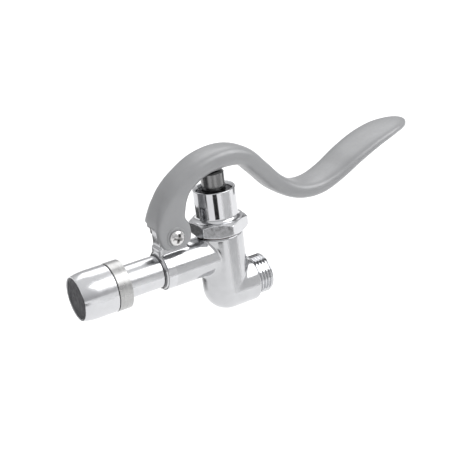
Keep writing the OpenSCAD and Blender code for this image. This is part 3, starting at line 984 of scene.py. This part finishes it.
@dataclass
class SqueezeLever(Assembly):
    """The coated hand lever and the screw that it turns on. Sizes in millimetres."""

    lines: Lines = None
    grain: float = 0.44
    passes: int = 9
    steps: int = 5
    sides: int = 40
    slot_w: float = 9.8
    ear_w: float = 3.6
    boss_r: float = 5.4
    boss_h: float = 0.35
    bore_r: float = 4.35
    head_r: float = 4.1
    head_h: float = 2.4
    shank_r: float = 2.5
    fork: tuple[Station, ...] = (
        Station(-28.3, 11.8, 17, 7, 8), Station(-28.3, 12.5, 17, 11.6, 9),
        Station(-28.4, 14.0, 17, 15.4, 10), Station(-28.5, 16.2, 17, 17.4, 10),
        Station(-28.7, 19.0, 17, 18.4, 10), Station(-29.2, 22.2, 17, 18.4, 9),
        Station(-29.3, 25.0, 17, 17.4, 7), Station(-28.6, 28.6, 17, 15.6, 5),
        Station(-27.0, 32.2, 17, 14.8, 4), Station(-24.1, 37.4, 17.3, 13.0, 3.4))
    arch: tuple[Station, ...] = (
        Station(-18.6, 43.0, 17.8, 10.8), Station(-7.0, 48.9, 19.0, 10.4), Station(6.5, 50.4, 19.4, 10.8),
        Station(17.6, 47.4, 18.4, 9.9), Station(26.4, 38.6, 17.2, 9.6), Station(36.0, 28.0, 17.8, 9.4))
    paddle: tuple[Station, ...] = (
        Station(47.5, 21.0, 20.2, 9.2), Station(60.0, 19.8, 22.0, 8.8), Station(72.5, 23.7, 23.6, 8.2, 2.8),
        Station(85.0, 29.9, 25.6, 7.6, 2.7), Station(98.0, 35.3, 26.4, 7.0, 2.6),
        Station(110.0, 38.7, 24.8, 6.2, 2.5), Station(119.0, 40.0, 18.8, 5.4, 2.4),
        Station(123.8, 40.4, 10.4, 4.0, 2.3), Station(125.4, 40.4, 3.2, 1.8, 2.2))

    def build(self) -> None:
        """Makes and hangs the lever, its bosses, its screw and its nut."""
        self.hang(self.arm(), Body.LEVER, "lever_coat", "lever")
        for side, name in ((-1, "near_boss"), (1, "far_boss")):
            self.hang(self.boss(name, side), Body.LEVER, "lever_coat")
        self.hang(self.screw(), Body.LEVER, "steel", "pivot_screw")
        self.hang(self.nut(), Body.LEVER, "steel", "pivot_nut")

    def section(self, at: float, line: list[Vector]) -> list[Vector]:
        """Returns the ring of points at a place along the centre line.

        Args:
            at: The place, in stations.
            line: The stations' numbers.
        """
        here, before, after = (self.blended(u, line) for u in (at, at - 0.02, at + 0.02))
        along = Vector((after[0] - before[0], after[1] - before[1])).normalized()
        stem = self.lines.outlet.origin
        ring = []
        for k in range(self.sides):
            angle = math.tau * k / self.sides
            power = 2 / here[4]
            across = math.copysign(abs(math.cos(angle)) ** power, math.cos(angle)) * here[2] / 2
            up = math.copysign(abs(math.sin(angle)) ** power, math.sin(angle)) * here[3] / 2
            ring.append(stem + Vector((here[0] - along.y * up, across, here[1] + along.x * up)) * MM)
        return ring

    @staticmethod
    def blended(at: float, line: list[Vector]) -> Vector:
        """Returns the numbers of a smooth curve through the stations at a place along it."""
        at = max(0.0, min(at, len(line) - 1.0))
        i = min(int(at), len(line) - 2)
        t = at - i
        p0, p1, p2, p3 = (line[max(0, min(k, len(line) - 1))] for k in range(i - 1, i + 3))
        return (2 * p1 + (p2 - p0) * t + (2 * p0 - 5 * p1 + 4 * p2 - p3) * t ** 2
                + (3 * p1 - p0 - 3 * p2 + p3) * t ** 3) / 2

    def arm(self) -> Piece:
        """Returns the cast lever: lofted, slotted, bored, and its edges run round under the coat."""
        line = [station.numbers() for station in (*self.fork, *self.arch, *self.paddle)]
        rings = [self.section(k / self.steps, line) for k in range(self.steps * (len(line) - 1) + 1)]
        piece = lofted("hand_lever", rings)
        pivot, button = self.lines.pivot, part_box("plunger")[1].z / MM + 0.05
        slot = cylinder("slot_end", 8.5, self.slot_w, 96,
                        Axis(pivot.origin - pivot.direction * self.slot_w / 2 * MM, pivot.direction))
        pad = cylinder("press_pad", 6.0, 5, 64,
                       Axis(self.lines.stem.origin + Vector((0, 0, button * MM)), UP))
        combine(piece, pad, Cut.ADD)
        combine(piece, slot, Cut.TAKE)
        centre = pivot.origin / MM
        combine(piece, self.block(
            Vector((centre.x, 0, centre.z - 6.5)), Vector((40, self.slot_w, 23))), Cut.TAKE)
        combine(piece, self.block(
            Vector((centre.x - 7.2, 7, centre.z - 0.2)), Vector((16, 5, 6)), 55), Cut.TAKE)
        stem_x = self.lines.stem.origin.x / MM
        combine(piece, self.block(Vector((stem_x + 1, 0, button - 1.92)), Vector((14, 30, 4))), Cut.TAKE)
        combine(piece, self.block(
            Vector((stem_x - 6.8, 0, button - 2.45)), Vector((9, 30, 4)), -17), Cut.TAKE)
        hole = cylinder("pivot_bore", self.bore_r, 40, 64,
                        Axis(pivot.origin - pivot.direction * 20 * MM, pivot.direction))
        combine(piece, hole, Cut.TAKE)
        soften(piece, self.grain, self.passes)
        return piece

    @staticmethod
    def block(centre: Vector, size: Vector, tilt: float = 0.0) -> Piece:
        """Returns a block to cut with, sizes in millimetres and tilt about the width in degrees."""
        only()
        bpy.ops.mesh.primitive_cube_add(size=1, location=centre * MM)
        block = bpy.context.object
        block.scale = size * MM
        block.rotation_euler.y = math.radians(tilt)
        settle(block)
        return block

    def boss(self, name: str, side: int) -> Piece:
        """Returns the low round boss on one ear, bored for the screw's shank."""
        ear, hole_r = self.slot_w / 2 + self.ear_w, self.shank_r + 0.02
        axis = Axis(self.lines.pivot.origin, self.lines.pivot.direction * side)
        return lathe(name, [
            (hole_r, ear - 3.4, 0), (self.boss_r - 0.4, ear - 3.4, 0), (self.boss_r, ear - 0.1, 0),
            (self.boss_r - 0.3, ear + self.boss_h, 0.2), (hole_r, ear + self.boss_h, 0)], axis, 96)

    def screw(self) -> Piece:
        """Returns the pan-headed screw with its cross recess."""
        low, high = height_span("pivot_screw", self.lines.pivot)
        under = low + self.head_h
        dome = [(r, low + 6.2 - math.sqrt(6.2 ** 2 - r ** 2)) for r in (3.55 * k / 7 for k in range(8))]
        edge = eased([(self.head_r, under - 1.0, 0.45), (self.head_r, under, 0.15),
                      (self.shank_r, under, 0.1), (self.shank_r, high, 0.5), (0, high, 0)])
        piece = turned("pan_head_screw", dome + edge, self.lines.pivot, 96)
        for turn in (0, 90):
            combine(piece, self.recess(low, turn), Cut.TAKE)
        return ease_edges(piece, 0.08, 2, 40, 35)

    def recess(self, low: float, turn: float) -> Piece:
        """Returns one bar of the cross recess, narrowing to its bottom."""
        only()
        bpy.ops.mesh.primitive_cube_add(size=1)
        bar = bpy.context.object
        for vertex in bar.data.vertices:
            deep = vertex.co.z > 0
            length, width = (2.2, 0.8) if deep else (6.2, 1.7)
            vertex.co = Vector((math.copysign(length / 2, vertex.co.x), math.copysign(width / 2, vertex.co.y),
                                low + (2.6 if deep else -0.3))) * MM
        bar.rotation_euler.z = math.radians(turn + 20)
        settle(bar)
        settle(bar, self.lines.pivot.matrix())
        return bar

    def nut(self) -> Piece:
        """Returns the lock nut with the round collar that holds its insert."""
        low, high = height_span("pivot_nut", self.lines.pivot)
        top = high - 1
        piece = hex_prism("lock_nut", 4.0, (low, top), (0, 0.4), (0.2, 0.6), self.lines.pivot, 96)
        collar = lathe("nut_collar", [
            (0, top - 0.3, 0), (3.6, top - 0.3, 0), (3.6, high - 0.3, 0), (3.3, high, 0.25), (2.7, high, 0.1),
            (2.7, high - 0.4, 0), (0, high - 0.4, 0)], self.lines.pivot, 96)
        combine(piece, collar, Cut.ADD)
        bore(piece, self.shank_r + 0.01, (low - 1, high + 1), self.lines.pivot, 96)
        return ease_edges(piece, 0.12, 2, 25, 30)


# ---- studio ----


@dataclass(frozen=True)
class Card:
    """An upright panel that only reflections see, in degrees and in metres from the outlet's axis."""

    name: str
    azimuth: float
    distance: float
    width: float
    low: float
    high: float
    tone: float
    soft: float = 0.12


@dataclass
class Studio:
    """Floor, light and camera."""

    lines: Lines
    floor_drop: float = 0.16
    azimuth: float = -28.66
    elevation: float = 21.05
    roll: float = -7.2
    distance: float = 0.520
    aim_right: float = 0.00181
    aim_up: float = 0.01277
    lens: float = 79.46

    def build(self) -> None:
        """Sets up the whole studio."""
        self.floor()
        self.world()
        self.lights()
        self.cards()
        self.camera()

    def soft_card(self, name: str, tone: float, soft: float) -> bpy.types.Material:
        """Returns a matt material that fades out towards a panel's edges.

        Args:
            name: The material's name.
            tone: How light the panel is.
            soft: Share of the panel that the fading takes on each side.
        """
        board = NodeBoard(name)
        board.shader.inputs["Base Color"].default_value = (tone, tone, tone, 1)
        board.shader.inputs["Roughness"].default_value = 0.9
        board.shader.inputs["Specular IOR Level"].default_value = 0.0
        split = board.node("SeparateXYZ")
        board.wire(board.place(), split, "Vector")
        shares = []
        for axis in ("X", "Y"):
            reach = board.node("Math", operation="ABSOLUTE")
            board.wire(split.outputs[axis], reach, 0)
            shares.append(board.spread(reach.outputs[0], 1.0, 0.0, 0.5 - soft, 0.5))
        both = board.node("Math", operation="MULTIPLY")
        board.wire(shares[0], both, 0)
        board.wire(shares[1], both, 1)
        clear = board.node("BsdfTransparent")
        mix = board.node("MixShader")
        board.wire(both.outputs[0], mix, 0)
        board.wire(clear.outputs[0], mix, 1)
        board.wire(board.shader.outputs[0], mix, 2)
        board.wire(mix.outputs[0], board.tree.nodes["Material Output"], "Surface")
        return board.material

    def floor(self) -> None:
        """Lays the pale floor well below the valve."""
        only()
        low = min(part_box(n)[0].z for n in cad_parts)
        bpy.ops.mesh.primitive_plane_add(size=30, location=(0, 0, low - self.floor_drop))
        floor = bpy.context.object
        floor.name = "floor"
        floor.data.materials.append(self.paper())

    def paper(self) -> bpy.types.Material:
        """Returns the floor's pale paper, which glows more where it lies far from the lamps."""
        board = NodeBoard("floor_paper")
        board.tint(board.noise(6, 2), (0.845, 0.845, 0.845), (0.86, 0.86, 0.86))
        board.shader.inputs["Roughness"].default_value = 0.9
        board.shader.inputs["Specular IOR Level"].default_value = 0.1
        board.shader.inputs["Emission Color"].default_value = (1, 1, 1, 1)
        reach = board.node("VectorMath", operation="LENGTH")
        board.wire(board.place(), reach, 0)
        glow = board.spread(reach.outputs["Value"], 0.2, 0.5, 0.5, 1.6)
        board.wire(glow, board.shader, "Emission Strength")
        return board.material

    def world(self) -> None:
        """Fills the room with soft light, brighter overhead."""
        world = bpy.data.worlds.new("room")
        bpy.context.scene.world = world
        world.use_nodes = True
        nodes, links = world.node_tree.nodes, world.node_tree.links
        spot = nodes.new("ShaderNodeTexCoord")
        split = nodes.new("ShaderNodeSeparateXYZ")
        ramp = nodes.new("ShaderNodeValToRGB")
        ramp.color_ramp.elements[0].position, ramp.color_ramp.elements[0].color = 0.0, (0.46, 0.46, 0.47, 1)
        ramp.color_ramp.elements[1].position, ramp.color_ramp.elements[1].color = 0.9, (1.02, 1.02, 1.03, 1)
        links.new(spot.outputs["Generated"], split.inputs["Vector"])
        links.new(split.outputs["Z"], ramp.inputs["Fac"])
        links.new(ramp.outputs["Color"], nodes["Background"].inputs["Color"])
        nodes["Background"].inputs["Strength"].default_value = 1.0

    def toward(self, azimuth: float, elevation: float) -> Vector:
        """Returns the direction from the valve that an azimuth and an elevation name."""
        a, e = math.radians(azimuth), math.radians(elevation)
        return Vector((math.sin(a) * math.cos(e), -math.cos(a) * math.cos(e), math.sin(e)))

    def lights(self) -> None:
        """Hangs the soft boxes."""
        centre = self.lines.outlet.origin
        for name, azimuth, elevation, distance, size, power in (
                ("key_box", 45, 42, 1.1, 0.9, 7.6),
                ("back_box", 150, 50, 1.3, 0.8, 3.0)):
            only()
            back = self.toward(azimuth, elevation)
            bpy.ops.object.light_add(type="AREA", location=centre + back * distance)
            lamp = bpy.context.object
            lamp.name = name
            lamp.rotation_euler = (-back).to_track_quat("-Z", "Y").to_euler()
            lamp.data.shape = "SQUARE"
            lamp.data.size = size
            lamp.data.energy = power

    def cards(self) -> None:
        """Stands the dark and grey cards that give the chrome its lines."""
        for card in (
                Card("card_dark_front", self.azimuth, 0.30, 0.14, -0.112, -0.055, 0.02),
                Card("card_dark_left", -102, 0.30, 0.36, -0.115, -0.040, 0.02),
                Card("card_dark_low", -152, 0.30, 0.34, -0.155, -0.090, 0.02),
                Card("card_dark_near", -152, 0.075, 0.06, -0.022, 0.002, 0.10, 0.04),
                Card("card_grey", 33, 0.23, 0.30, -0.155, 0.09, 0.80, 0.25)):
            only()
            back = self.toward(card.azimuth, 0)
            middle = self.lines.outlet.origin + back * card.distance
            middle.z += (card.low + card.high) / 2
            bpy.ops.mesh.primitive_plane_add(size=1, location=middle)
            panel = bpy.context.object
            panel.name = card.name
            panel.rotation_euler = back.to_track_quat("Z", "Y").to_euler()
            panel.scale = (card.width, card.high - card.low, 1)
            panel.data.materials.append(self.soft_card(card.name, card.tone, card.soft))
            panel.visible_camera = False
            panel.visible_diffuse = False
            panel.visible_shadow = False

    def camera(self) -> None:
        """Sets the camera at its angle, distance and tilt."""
        back = self.toward(self.azimuth, self.elevation)
        a = math.radians(self.azimuth)
        right = Vector((math.cos(a), math.sin(a), 0))
        up = back.cross(right)
        r = math.radians(self.roll)
        across = right * math.cos(r) + up * math.sin(r)
        above = up * math.cos(r) - right * math.sin(r)
        eye = self.lines.outlet.origin + across * self.aim_right + above * self.aim_up + back * self.distance
        only()
        bpy.ops.object.camera_add()
        camera = bpy.context.object
        camera.name = "camera"
        camera.data.lens = self.lens
        camera.data.sensor_width = 36.0
        camera.matrix_world = Matrix((
            (across.x, above.x, back.x, eye.x), (across.y, above.y, back.y, eye.y),
            (across.z, above.z, back.z, eye.z), (0, 0, 0, 1)))
        bpy.context.scene.camera = camera
        bpy.context.scene.view_settings.view_transform = "Standard"


def corners(box: tuple[Vector, Vector]) -> list[list[float]]:
    """Returns a box's two corners as plain lists of numbers."""
    return [[round(v, 6) for v in corner] for corner in box]


def main() -> None:
    """Builds every sub-assembly, then the studio."""
    logging.basicConfig(level=logging.INFO, format="%(message)s")
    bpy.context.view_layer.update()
    finishes = FinishRack()
    finishes.dress_cad()
    lines = Lines.read()
    for assembly in (ValveBody, Bonnet, ReturnSpring, Plunger, Outlet, SqueezeLever):
        assembly(finishes, lines=lines).build()
    Studio(lines).build()


if __name__ == "__main__":
    main()
